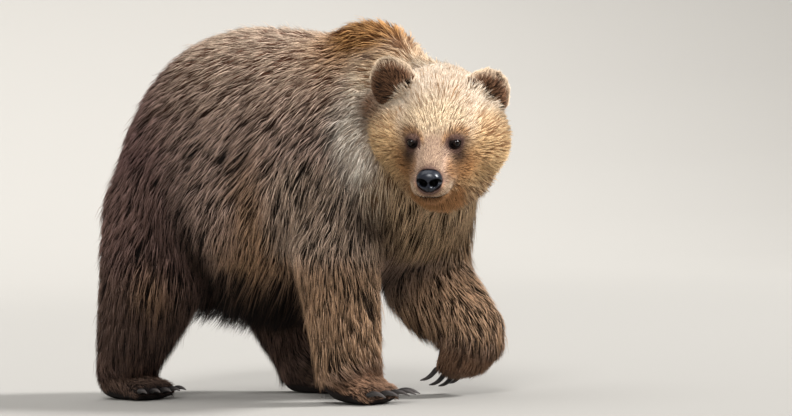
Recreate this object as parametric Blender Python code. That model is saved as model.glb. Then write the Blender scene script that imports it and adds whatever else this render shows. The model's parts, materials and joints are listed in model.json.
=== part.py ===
"""Brown bear, life size, walking with its head turned to its right: the outer form of its coat.

Metres, +Z up. The bear heads along +X, its left side is +Y, and its feet stand on z = 0.
The body is a set of lofts through named stations, fused by a voxel remesh, smoothed into one hide and
thinned out. It is then parted with thin cuts where a person would name the parts.
"""

import math

import bmesh
import bpy
from mathutils import Matrix, Vector

GAP = 0.0004  # clearance between two parts that meet
RING_POINTS = 32  # points round each ring of a loft
STEPS = 5  # rings from one station to the next
VOXEL = 0.009  # cell of the remesh that fuses the lofts
HIDE_SMOOTHING = 9  # passes that round the creases between the lofts
HIDE_TRIANGLES = 2480  # the whole hide, before it is parted
KEPT_WEIGHT = 0.5  # how readily the face is thinned, where the rest of the hide has 1
KEPT_FACTOR = 0.004  # how much those weights count against the shape
REACH = 3.0  # side of the boxes that stand for a half space

TOES = range(-2, 3)
SIDES = {"right": -1, "left": 1}

# Trunk stations from tail to chest: x, top, bottom, half width, level of the widest line.
TRUNK = (
    (-0.632, 0.600, 0.480, 0.060, 0.540),
    (-0.605, 0.700, 0.420, 0.140, 0.540),
    (-0.540, 0.840, 0.380, 0.220, 0.550),
    (-0.455, 0.965, 0.340, 0.275, 0.570),
    (-0.330, 1.045, 0.308, 0.316, 0.590),
    (-0.150, 1.076, 0.290, 0.330, 0.580),
    (0.000, 1.062, 0.290, 0.330, 0.570),
    (0.150, 1.034, 0.315, 0.315, 0.580),
    (0.300, 1.000, 0.355, 0.290, 0.600),
    (0.420, 0.950, 0.400, 0.250, 0.620),
    (0.520, 0.860, 0.450, 0.190, 0.640),
    (0.580, 0.760, 0.520, 0.100, 0.650),
)
HUMP_CENTRE = (0.280, 0.0, 0.910)  # muscle and long hair over the shoulder blades
HUMP_RADII = (0.190, 0.140, 0.160)
TAIL_CENTRE = (-0.580, 0.0, 0.785)
TAIL_RADII = (0.032, 0.040, 0.070)
TAIL_SLOPE = math.radians(30)

# Neck stations from between the shoulders to the nape: x, y, z, half depth, half width.
NECK = (
    (0.340, 0.000, 0.780, 0.205, 0.190),
    (0.450, -0.015, 0.760, 0.190, 0.200),
    (0.545, -0.060, 0.745, 0.182, 0.195),
    (0.610, -0.130, 0.735, 0.172, 0.182),
)
NECK_BASE = (0.480, 0.0, 0.800)  # the cut from the withers down to the breast
NECK_BASE_FACING = (0.80, -0.20, 0.50)

# The head's own frame has its origin inside the brow, level with the eyes, and +X along the muzzle.
HEAD_PLACE = (0.687, -0.215, 0.714)
HEAD_TURN = math.radians(-59)
HEAD_NOD = math.radians(20)
HEAD_TILT = math.radians(-3)
NAPE = -0.185  # where the head is parted from the neck, behind the ears

# Head stations from nape to nose, in the head's frame:
# x, top, bottom, half width, level of the widest line.
HEAD = (
    (-0.230, 0.080, -0.080, 0.080, 0.000),
    (-0.200, 0.130, -0.175, 0.140, -0.020),
    (-0.140, 0.165, -0.222, 0.162, -0.030),
    (-0.070, 0.158, -0.236, 0.158, -0.035),
    (-0.020, 0.118, -0.222, 0.135, -0.040),
    (0.020, 0.062, -0.182, 0.103, -0.045),
    (0.060, 0.026, -0.144, 0.080, -0.060),
    (0.110, 0.004, -0.140, 0.069, -0.072),
    (0.150, -0.014, -0.135, 0.061, -0.078),
    (0.174, -0.036, -0.116, 0.044, -0.078),
)
CHEEK_CENTRE = (-0.085, 0.112, -0.030)
CHEEK_RADII = (0.085, 0.084, 0.110)
JOWL_CENTRE = (-0.085, 0.072, -0.105)
JOWL_RADII = (0.075, 0.085, 0.100)
BROW_CENTRE = (-0.012, 0.055, 0.042)
BROW_RADII = (0.036, 0.042, 0.030)
EYE_CENTRE = (0.050, 0.058, 0.000)
EYE_RADIUS = 0.0135
NOSE_CENTRE = (0.158, 0.0, -0.066)
NOSE_RADII = (0.034, 0.037, 0.034)
MOUTH_CORNER = (0.050, 0.0, -0.110)  # the jaw lies ahead of this and below it
JAW_BLOCK = 0.250
# Where each ear stands and how far it leans out from the crown:
# the right one is pricked, the left one relaxed.
EARS = {
    "right": ((-0.110, -0.130, 0.118), math.radians(20)),
    "left": ((-0.110, 0.125, 0.088), math.radians(-34)),
}
EAR_RADII = (0.027, 0.064, 0.070)
EAR_CUP_CENTRE = (0.026, 0.0, 0.006)  # from the ear's centre
EAR_CUP_RADII = (0.022, 0.044, 0.048)
EAR_TURN = math.radians(20)  # the cups turn out from straight ahead

# Half depth and half width of the legs down their length to inside the paw, with the coat on.
SHOULDER_SIZES = ((0.150, 0.085), (0.155, 0.115), (0.135, 0.110))
THIGH_SIZES = ((0.190, 0.100), (0.212, 0.135), (0.190, 0.122))
FORE_SIZES = SHOULDER_SIZES + ((0.118, 0.102), (0.097, 0.092), (0.088, 0.082))
LIFTED_SIZES = SHOULDER_SIZES + ((0.112, 0.100), (0.080, 0.084), (0.070, 0.078))
HIND_SIZES = THIGH_SIZES + ((0.152, 0.102), (0.092, 0.082), (0.078, 0.070))
SIZES = {
    "foreleg_right": FORE_SIZES,
    "foreleg_left": LIFTED_SIZES,
    "hindleg_right": HIND_SIZES,
    "hindleg_left": HIND_SIZES,
}
# Each leg in this stride: its top, its elbow or knee, its wrist or heel.
LEGS = {
    "foreleg_right": ((0.330, -0.150, 0.690), (0.300, -0.190, 0.430), (0.330, -0.185, 0.110)),
    "foreleg_left": ((0.380, 0.150, 0.680), (0.300, 0.185, 0.340), (0.523, 0.155, 0.170)),
    "hindleg_right": ((-0.380, -0.140, 0.680), (-0.395, -0.200, 0.410), (-0.552, -0.180, 0.110)),
    "hindleg_left": ((-0.360, 0.140, 0.680), (-0.255, 0.190, 0.390), (-0.135, 0.165, 0.110)),
}
# The block of space that is parted as a leg stands further out than the leg's top, by these shifts
# down its length, and is larger than the leg all the way down.
ZONE_SHIFTS = (0.065, 0.065, 0.030, 0.0, 0.0, 0.0)
ZONE_MARGINS = (0.030, 0.040)
ZONE_PAW = ((0.045, 0.0, -0.060), (0.190, 0.130, 0.105))
ZONE_VOXEL = 0.030
ZONE_SMOOTHING = 3
ZONE_TRIANGLES = 120
# How each paw turns about the upright, and curls about the wrist, and how its claws drop, in degrees.
PAW_TURNS = {"foreleg_right": 4, "foreleg_left": -6, "hindleg_right": -4, "hindleg_left": 2}
PAW_CURLS = {"foreleg_right": 0, "foreleg_left": 98, "hindleg_right": 0, "hindleg_left": 0}
CLAW_DROPS = {"foreleg_right": 0, "foreleg_left": 48, "hindleg_right": 0, "hindleg_left": 0}
# Pads of a paw as eggs in its wrist's frame, with +X to the toes: centre and radii.
FORE_PADS = (
    ((0.008, 0.0, -0.040), (0.082, 0.080, 0.072)),
    ((0.062, 0.0, -0.076), (0.062, 0.082, 0.040)),
)
LIFTED_PADS = FORE_PADS + (((0.058, 0.0, -0.030), (0.072, 0.078, 0.052)),)
HIND_PADS = (
    ((-0.030, 0.0, -0.050), (0.066, 0.062, 0.066)),
    ((0.045, 0.0, -0.068), (0.088, 0.068, 0.050)),
    ((0.100, 0.0, -0.078), (0.062, 0.076, 0.040)),
)
PADS = {
    "foreleg_right": FORE_PADS,
    "foreleg_left": LIFTED_PADS,
    "hindleg_right": HIND_PADS,
    "hindleg_left": HIND_PADS,
}
TOE_RADII = (0.034, 0.019, 0.026)
TOE_SPACING = 0.032
TOE_ARC = 0.005  # how much further back each toe sits than the one inside it
TOE_SPLAY = math.radians(5)
TOE_REACHES = {"foreleg": 0.108, "hindleg": 0.142}
TOE_LEVEL = -0.086
CLAW_LENGTHS = {"foreleg": 0.075, "hindleg": 0.048}
CLAW_RADIUS = 0.0065
CLAW_TIP = 0.0012
CLAW_ROOT = (0.020, 0.0, 0.004)  # from the middle of the toe
CLAW_RISE = math.radians(16)
CLAW_BEND = math.radians(60)
CLAW_JOINTS = 3
CLAW_SIDES = 6
CLAW_DEPTH = 1.15  # of its width
FOOT = (0.030, 0.0, -0.050)  # where the loft of a leg ends, in its paw's frame

EGG_SEGMENTS = 32  # round an egg that is fused into the hide
PART_SEGMENTS = {"tail": 14, "ear": 14, "cup": 12, "eye": 12, "nose": 16}

# Colour and roughness of each kind of surface, by the word in a part's name.
SURFACES = {
    "claw": ((0.050, 0.045, 0.040), 0.40),
    "eye": ((0.020, 0.012, 0.008), 0.10),
    "nose": ((0.030, 0.030, 0.035), 0.35),
    "coat": ((0.240, 0.150, 0.090), 0.90),
}


def clear_scene():
    for obj in list(bpy.data.objects):
        bpy.data.objects.remove(obj, do_unlink=True)


def material(name, colour, roughness):
    made = bpy.data.materials.new(name)
    made.use_nodes = True
    shader = made.node_tree.nodes["Principled BSDF"]
    shader.inputs["Base Color"].default_value = (*colour, 1.0)
    shader.inputs["Roughness"].default_value = roughness
    shader.inputs["Metallic"].default_value = 0.0
    return made


def new_object(name, mesh):
    obj = bpy.data.objects.new(name, mesh)
    bpy.context.scene.collection.objects.link(obj)
    return obj


def between(rows, steps=STEPS):
    """The rows with smooth ones in between, on a Catmull-Rom curve through all their numbers."""
    rows = [Vector(row) for row in rows]
    made = []
    for i in range(len(rows) - 1):
        before, start, end = rows[max(i - 1, 0)], rows[i], rows[i + 1]
        after = rows[min(i + 2, len(rows) - 1)]
        for step in range(steps):
            t = step / steps
            made.append(
                start
                + (end - before) * (t / 2)
                + (before * 2 - start * 5 + end * 4 - after) * (t * t / 2)
                + (start * 3 - before - end * 3 + after) * (t**3 / 2)
            )
    return made + [rows[-1]]


def ring(centre, side, up, half_width, above, below, points=RING_POINTS):
    """Points round an egg-shaped ring, from its side over its top."""
    made = []
    for i in range(points):
        angle = 2 * math.pi * i / points
        height = math.sin(angle) * (above if math.sin(angle) > 0 else below)
        made.append(centre + side * (math.cos(angle) * half_width) + up * height)
    return made


def loft(name, rings):
    """A closed mesh through rings of equal count, capped at both ends."""
    bm = bmesh.new()
    loops = [[bm.verts.new(point) for point in points] for points in rings]
    for near, far in zip(loops, loops[1:]):
        for i in range(len(near)):
            j = (i + 1) % len(near)
            bm.faces.new((near[i], near[j], far[j], far[i]))
    bm.faces.new(loops[0][::-1])
    bm.faces.new(loops[-1])
    bmesh.ops.recalc_face_normals(bm, faces=bm.faces)
    return finished(name, bm)


def finished(name, bm):
    """The bmesh as an object in the scene."""
    mesh = bpy.data.meshes.new(name)
    bm.to_mesh(mesh)
    bm.free()
    return new_object(name, mesh)


def barrel(name, stations):
    """A loft along X through rows of x, top, bottom, half width and the level of the widest line."""
    side, up = Vector((0, 1, 0)), Vector((0, 0, 1))
    rings = []
    for x, top, bottom, half_width, level in between(stations):
        rings.append(ring(Vector((x, 0, level)), side, up, half_width, top - level, level - bottom))
    return loft(name, rings)


def limb(name, stations, steps=STEPS, points=RING_POINTS):
    """A loft along a bent path through rows of x, y, z, half depth and half width."""
    rows = between(stations, steps)
    places = [Vector(row[:3]) for row in rows]
    rings = []
    for i, row in enumerate(rows):
        along = (places[min(i + 1, len(rows) - 1)] - places[max(i - 1, 0)]).normalized()
        side = (Vector((0, 1, 0)) - along * along.y).normalized()
        rings.append(ring(places[i], side, side.cross(along), row[4], row[3], row[3], points))
    return loft(name, rings)


def egg(name, centre, radii, turn=None, segments=EGG_SEGMENTS):
    """An ellipsoid, with its axes turned by the matrix if one is given."""
    bm = bmesh.new()
    bmesh.ops.create_uvsphere(bm, u_segments=segments, v_segments=segments // 2, radius=1.0)
    place = Matrix.Translation(centre) @ (turn or Matrix.Identity(4)) @ Matrix.Diagonal((*radii, 1.0))
    bmesh.ops.transform(bm, matrix=place, verts=bm.verts)
    return finished(name, bm)


def mirrored(place, side):
    return (place[0], place[1] * side, place[2])


def moved(obj, matrix):
    obj.data.transform(matrix)
    return obj


def applied(obj):
    """The object with its modifiers made real."""
    graph = bpy.context.evaluated_depsgraph_get()
    mesh = bpy.data.meshes.new_from_object(obj.evaluated_get(graph))
    obj.modifiers.clear()
    obj.data = mesh
    return obj


def joined(name, pieces):
    """One object that holds the meshes of all the pieces."""
    bm = bmesh.new()
    for piece in pieces:
        bm.from_mesh(piece.data)
        discard(piece)
    return finished(name, bm)


def fused(obj, voxel, smoothing):
    """The object's overlapping shapes melted into one smooth skin."""
    remesh = obj.modifiers.new("fuse", "REMESH")
    remesh.mode = "VOXEL"
    remesh.voxel_size = voxel
    smooth = obj.modifiers.new("round", "SMOOTH")
    smooth.factor = 0.5
    smooth.iterations = smoothing
    return applied(obj)


def thinned(obj, triangles, kept=None):
    """The object in fewer triangles, with more of them left where the function kept is true."""
    thin = obj.modifiers.new("thin", "DECIMATE")
    if kept:
        group = obj.vertex_groups.new(name="kept")
        for vertex in obj.data.vertices:
            group.add([vertex.index], KEPT_WEIGHT if kept(vertex.co) else 1.0, "REPLACE")
        thin.vertex_group = group.name
        thin.vertex_group_factor = KEPT_FACTOR
    thin.ratio = triangles / (2 * len(obj.data.polygons))
    thin.use_collapse_triangulate = True
    return applied(obj)


def combined(obj, other, operation):
    cut = obj.modifiers.new(operation, "BOOLEAN")
    cut.operation = operation
    cut.object = other
    cut.solver = "EXACT"
    return applied(obj)


def copy_of(obj, name):
    return new_object(name, obj.data.copy())


def swollen(obj, by):
    """A copy of the object with its surface pushed out by a distance."""
    grown = copy_of(obj, obj.name + "_swollen")
    push = grown.modifiers.new("swell", "DISPLACE")
    push.strength = by
    push.mid_level = 0.0
    return applied(grown)


def discard(*objects):
    for obj in objects:
        bpy.data.objects.remove(obj, do_unlink=True)


def half_space(place, facing):
    """A box that fills everything ahead of a plane."""
    bm = bmesh.new()
    bmesh.ops.create_cube(bm, size=REACH)
    turn = Vector(facing).to_track_quat("Z", "Y").to_matrix().to_4x4()
    matrix = Matrix.Translation(place) @ turn @ Matrix.Translation((0, 0, REACH / 2))
    bmesh.ops.transform(bm, matrix=matrix, verts=bm.verts)
    return finished("half_space", bm)


def split(obj, place, facing, name):
    """Parts what lies ahead of a plane off the object, as a new one, with the gap between."""
    step = Vector(facing).normalized() * (GAP / 2)
    behind = half_space(Vector(place) - step, facing)
    ahead = half_space(Vector(place) + step, facing)
    taken = combined(copy_of(obj, name), ahead, "INTERSECT")
    combined(obj, behind, "DIFFERENCE")
    discard(behind, ahead)
    return taken


def head_matrix():
    return (
        Matrix.Translation(HEAD_PLACE)
        @ Matrix.Rotation(HEAD_TURN, 4, "Z")
        @ Matrix.Rotation(HEAD_NOD, 4, "Y")
        @ Matrix.Rotation(HEAD_TILT, 4, "X")
    )


def head_masses():
    """The skull with its muzzle, cheeks and brows, in the row frame."""
    pieces = [barrel("skull", HEAD)]
    for side in SIDES.values():
        pieces.append(egg("cheek", mirrored(CHEEK_CENTRE, side), CHEEK_RADII))
        pieces.append(egg("jowl", mirrored(JOWL_CENTRE, side), JOWL_RADII))
        pieces.append(egg("brow", mirrored(BROW_CENTRE, side), BROW_RADII))
    return [moved(piece, head_matrix()) for piece in pieces]


def in_face(place):
    return (head_matrix().inverted() @ place).x > NAPE and place.x > NECK_BASE[0]


def paw_matrix(leg):
    wrist = LEGS[leg][2]
    return (
        Matrix.Translation(wrist)
        @ Matrix.Rotation(math.radians(PAW_TURNS[leg]), 4, "Z")
        @ Matrix.Rotation(math.radians(PAW_CURLS[leg]), 4, "Y")
    )


def toe_place(leg, toe):
    """Where a toe's middle lies in the wrist's frame, counted from the middle toe."""
    return Vector((TOE_REACHES[leg.split("_")[0]] - TOE_ARC * toe * toe, TOE_SPACING * toe, TOE_LEVEL))


def leg_path(leg, shifts=(0.0,) * 6, margins=(0.0, 0.0)):
    """Rows down a leg into its paw, moved outwards and grown by margins of depth and width."""
    top, joint, wrist = [Vector(place) for place in LEGS[leg]]
    path = [top, (top + joint) / 2, joint, (joint + wrist) / 2, wrist, paw_matrix(leg) @ Vector(FOOT)]
    rows = []
    for place, (depth, width), shift in zip(path, SIZES[leg], shifts):
        out = Vector((0, math.copysign(shift, top.y), 0))
        rows.append((*(place + out), depth + margins[0], width + margins[1]))
    return rows


def leg_masses(leg):
    """One leg with its paw, in the row frame."""
    paw = []
    for centre, radii in PADS[leg]:
        paw.append(egg("pad", centre, radii))
    for toe in TOES:
        paw.append(egg("toe", toe_place(leg, toe), TOE_RADII, Matrix.Rotation(TOE_SPLAY * toe, 4, "Z")))
    return [limb(leg, leg_path(leg))] + [moved(piece, paw_matrix(leg)) for piece in paw]


def leg_zone(leg):
    """The block of space that holds all that is parted from the body as one leg."""
    pieces = [limb("zone", leg_path(leg, ZONE_SHIFTS, ZONE_MARGINS))]
    pieces.append(moved(egg("zone", *ZONE_PAW), paw_matrix(leg)))
    return thinned(fused(joined("zone", pieces), ZONE_VOXEL, ZONE_SMOOTHING), ZONE_TRIANGLES)


def whole_hide():
    """The body from nose to tail as one skin, before anything is parted from it."""
    pieces = [barrel("trunk", TRUNK), egg("hump", HUMP_CENTRE, HUMP_RADII), limb("neck", NECK)]
    pieces += head_masses()
    for leg in LEGS:
        pieces += leg_masses(leg)
    hide = fused(joined("trunk", pieces), VOXEL, HIDE_SMOOTHING)
    floor = half_space((0, 0, 0), (0, 0, -1))
    hide = combined(thinned(hide, HIDE_TRIANGLES, in_face), floor, "DIFFERENCE")
    discard(floor)
    return hide


def seated(host, parts):
    """Cuts a seat in the host for each part that stands in it, wider than the part by the gap."""
    for part in parts:
        seat = swollen(part, GAP)
        combined(host, seat, "DIFFERENCE")
        discard(seat)


def parted_legs(trunk):
    """Each leg off the trunk, then its three lengths and its claws."""
    made = []
    for leg in LEGS:
        zone = leg_zone(leg)
        whole = combined(copy_of(trunk, leg), zone, "INTERSECT")
        seated(trunk, [zone])
        discard(zone)
        top, joint, wrist = [Vector(place) for place in LEGS[leg]]
        upper = (joint - top).normalized()
        lower = (wrist - joint).normalized()
        paw = (paw_matrix(leg) @ Vector(FOOT) - wrist).normalized()
        shank = split(whole, joint, upper + lower, leg + "_lower")
        foot = split(shank, wrist, lower + paw, leg + "_paw")
        whole.name = leg + "_upper"
        claws = [claw(leg, toe) for toe in TOES]
        seated(foot, claws)
        made += [whole, shank, foot] + claws
    return made


def claw(leg, toe):
    """A curved claw that stands in its toe and bends down to a blunt tip."""
    length = CLAW_LENGTHS[leg.split("_")[0]]
    place, angle = Vector(CLAW_ROOT), CLAW_RISE
    rows = []
    for i in range(CLAW_JOINTS + 1):
        radius = CLAW_TIP + (CLAW_RADIUS - CLAW_TIP) * math.sqrt(1 - i / CLAW_JOINTS)
        rows.append((*place, radius * CLAW_DEPTH, radius))
        place = place + Vector((math.cos(angle), 0, math.sin(angle))) * (length / CLAW_JOINTS)
        angle -= CLAW_BEND / CLAW_JOINTS
    made = limb(f"{leg}_claw_{toe + len(TOES) // 2 + 1}", rows, 1, CLAW_SIDES)
    at = Matrix.Translation(toe_place(leg, toe)) @ Matrix.Rotation(TOE_SPLAY * toe, 4, "Z")
    return moved(made, paw_matrix(leg) @ at @ Matrix.Rotation(math.radians(CLAW_DROPS[leg]), 4, "Y"))


def eyeball(word, side):
    place = mirrored(EYE_CENTRE, side)
    ball = egg("eye_" + word, place, [EYE_RADIUS] * 3, segments=PART_SEGMENTS["eye"])
    return moved(ball, head_matrix())


def ear(word):
    """A round thick ear with a cup in its front."""
    place, lean = EARS[word]
    outside = egg("ear_" + word, (0, 0, 0), EAR_RADII, segments=PART_SEGMENTS["ear"])
    cup = egg("cup", EAR_CUP_CENTRE, EAR_CUP_RADII, segments=PART_SEGMENTS["cup"])
    combined(outside, cup, "DIFFERENCE")
    discard(cup)
    turn = Matrix.Rotation(EAR_TURN * SIDES[word], 4, "Z") @ Matrix.Rotation(lean, 4, "X")
    return moved(outside, head_matrix() @ Matrix.Translation(place) @ turn)


def parted_jaw(head):
    """The lower jaw off the head, along the line of the mouth."""
    bm = bmesh.new()
    bmesh.ops.create_cube(bm, size=1.0)
    centre = Vector(MOUTH_CORNER) + Vector((JAW_BLOCK / 2, 0, -JAW_BLOCK / 2))
    place = head_matrix() @ Matrix.Translation(centre) @ Matrix.Scale(JAW_BLOCK, 4)
    bmesh.ops.transform(bm, matrix=place, verts=bm.verts)
    block = finished("block", bm)
    jaw = combined(copy_of(head, "jaw"), block, "INTERSECT")
    seated(head, [block])
    discard(block)
    return jaw


def coloured(parts):
    """A plain material on every part, after what it is made of."""
    for part in parts:
        kind = [word for word in SURFACES if word in part.name] or ["coat"]
        colour, roughness = SURFACES[kind[0]]
        made = material(part.name + "_surface", colour, roughness)
        part.data.materials.clear()
        part.data.materials.append(made)
        for face in part.data.polygons:
            face.material_index = 0


def centred(parts):
    """Moves everything so that the footprint of the whole is centred over the origin."""
    low, high = Vector((REACH, REACH, 0)), Vector((-REACH, -REACH, 0))
    for part in parts:
        for vertex in part.data.vertices:
            for axis in (0, 1):
                low[axis] = min(low[axis], vertex.co[axis])
                high[axis] = max(high[axis], vertex.co[axis])
    for part in parts:
        moved(part, Matrix.Translation(-(low + high) / 2))


def main():
    clear_scene()
    trunk = whole_hide()
    parts = parted_legs(trunk)
    neck = split(trunk, NECK_BASE, NECK_BASE_FACING, "neck")
    nape = head_matrix() @ Vector((NAPE, 0, 0))
    head = split(neck, nape, head_matrix().to_3x3() @ Vector((1, 0, 0)), "head")
    slope = Matrix.Rotation(TAIL_SLOPE, 4, "Y")
    tail = egg("tail", TAIL_CENTRE, TAIL_RADII, slope, PART_SEGMENTS["tail"])
    seated(trunk, [tail])
    parts += [trunk, neck, head, tail]
    for word, side in SIDES.items():
        eye, shell = eyeball(word, side), ear(word)
        seated(head, [eye, shell])
        parts += [eye, shell]
    nose = moved(egg("nose", NOSE_CENTRE, NOSE_RADII, segments=PART_SEGMENTS["nose"]), head_matrix())
    seated(head, [nose])
    parts += [nose, parted_jaw(head)]
    coloured(parts)
    centred(parts)


main()
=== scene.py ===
"""Brown bear, the looks: one skin and its coat, eyes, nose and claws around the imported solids.

Metres, +Z up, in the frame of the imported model. The bear walks along +X and its left side is +Y.
The skin is the fused solids, drawn in by the depth of the coat and sculpted in the face. The coat is
solid locks of hair rooted in the skin. What a place on the body looks like is painted once, from
named looks, and skin and coat both take it from there.
"""

import json
import math
from collections import namedtuple

import bmesh
import bpy
import numpy as np
from mathutils import Matrix, Vector
from mathutils.bvhtree import BVHTree
from mathutils.kdtree import KDTree

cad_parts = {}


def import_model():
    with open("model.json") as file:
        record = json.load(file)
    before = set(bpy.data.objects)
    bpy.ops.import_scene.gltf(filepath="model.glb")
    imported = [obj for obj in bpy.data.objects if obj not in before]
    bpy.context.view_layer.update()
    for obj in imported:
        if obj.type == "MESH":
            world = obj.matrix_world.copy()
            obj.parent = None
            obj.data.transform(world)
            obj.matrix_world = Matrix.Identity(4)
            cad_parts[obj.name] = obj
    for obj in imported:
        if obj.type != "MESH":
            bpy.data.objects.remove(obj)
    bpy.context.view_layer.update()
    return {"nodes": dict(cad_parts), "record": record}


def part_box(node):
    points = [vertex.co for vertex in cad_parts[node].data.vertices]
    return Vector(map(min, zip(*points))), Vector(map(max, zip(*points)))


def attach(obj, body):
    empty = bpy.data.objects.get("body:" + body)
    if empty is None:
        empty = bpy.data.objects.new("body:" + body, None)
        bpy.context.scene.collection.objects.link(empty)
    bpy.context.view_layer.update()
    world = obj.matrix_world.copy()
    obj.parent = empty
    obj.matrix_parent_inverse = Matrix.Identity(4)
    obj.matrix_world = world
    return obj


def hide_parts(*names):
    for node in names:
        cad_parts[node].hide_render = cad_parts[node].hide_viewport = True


SEED = 11
UP = np.array((0.0, 0.0, 1.0))
SIDES = {"left": 1, "right": -1}
EARS = ("ear_left", "ear_right")
LEGS = ("foreleg_left", "foreleg_right", "hindleg_left", "hindleg_right")
LEG_PARTS = ("upper", "lower", "paw")

# Skin
SWELL = 0.0007  # closes the thin cuts between the solids before they are fused
VOXEL = 0.0091
PLUG_RADIUS = 0.011  # of the ball that fills the seat of a claw in its toe
PLUG_DEPTH = 0.004
FACE_REACH = ((-0.075, 0.15), (-0.085, 0.085), (-0.165, 0.055))  # refined, in the face's frame
FINE_REACH = ((-0.03, 0.15), (-0.082, 0.082), (-0.14, 0.03))  # and again
ROUNDING = 10  # passes of smoothing
STIFFNESS = {"head": 0.25, "jaw": 0.25, "ear_left": 0.0, "ear_right": 0.0}  # parts that it spares
SUPPLE = 0.5  # how far a pass moves the others
LABEL_BLUR = 21  # passes that soften the borders between the parts
EAR_BLUR = 4  # and fewer for the ears
PULL_STEPS = 4  # in which the skin is drawn in by the coat's depth
LIE_BLUR = 8  # passes that even out the lie of the hair

# Face, from the middle of the eyes
MUZZLE_DROP = math.atan2(0.066, 0.108)  # how far the nose lies below the line of sight
EAR_GROWTH = 0.24
EAR_AHEAD = 0.012  # how far the ears move forward
CROWN_DENT = 0.022  # how far the crown sinks in front of each ear
MOUTH_DEPTH = 0.009
EYE_RADIUS = 0.0136
EYE_SET = 0.003  # how much deeper the eyeball sits than the solid's
LID_OPENING = (0.013, 0.01)  # half width and half height
LID_THICKNESS = 0.0018
LID_REACH = 0.03
EYE_SLANT = math.radians(10)  # the inner corners are the lower ones
CORNEA = 0.07  # how far the cornea bulges, as a share of the radius
EYE_BANDS = (  # the colours of pupil, iris and white, by the angle off the look
    (0.0, (1, 1, 1)), (0.28, (2, 2, 2)), (0.36, (20, 12, 8)), (0.56, (30, 18, 11)), (0.7, (12, 8, 7)),
    (1.0, (8, 6, 6)),
)
NOSE_RADII = np.array((0.034, 0.034, 0.031))
NOSTRIL_START = (0.013, -0.002)  # outwards and upwards from the middle of the nose
NOSTRIL_REACH = (0.017, 0.001)  # from there to its outer end
NOSTRIL_ARCH = 0.005
NOSTRIL_SIZE, NOSTRIL_TAPER = 0.0098, 0.006  # half its width, and how far that shrinks outwards
NOSTRIL_DEPTH = 0.02
GROOVE = (0.0016, 0.003)  # half width and depth
LEATHER = (25, 27, 35)
NOSTRIL_SHADE = (2, 2, 2)  # painted shade inside the nostrils, near black
RELIEF = 0.0006  # of skin, nose and claws

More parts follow.
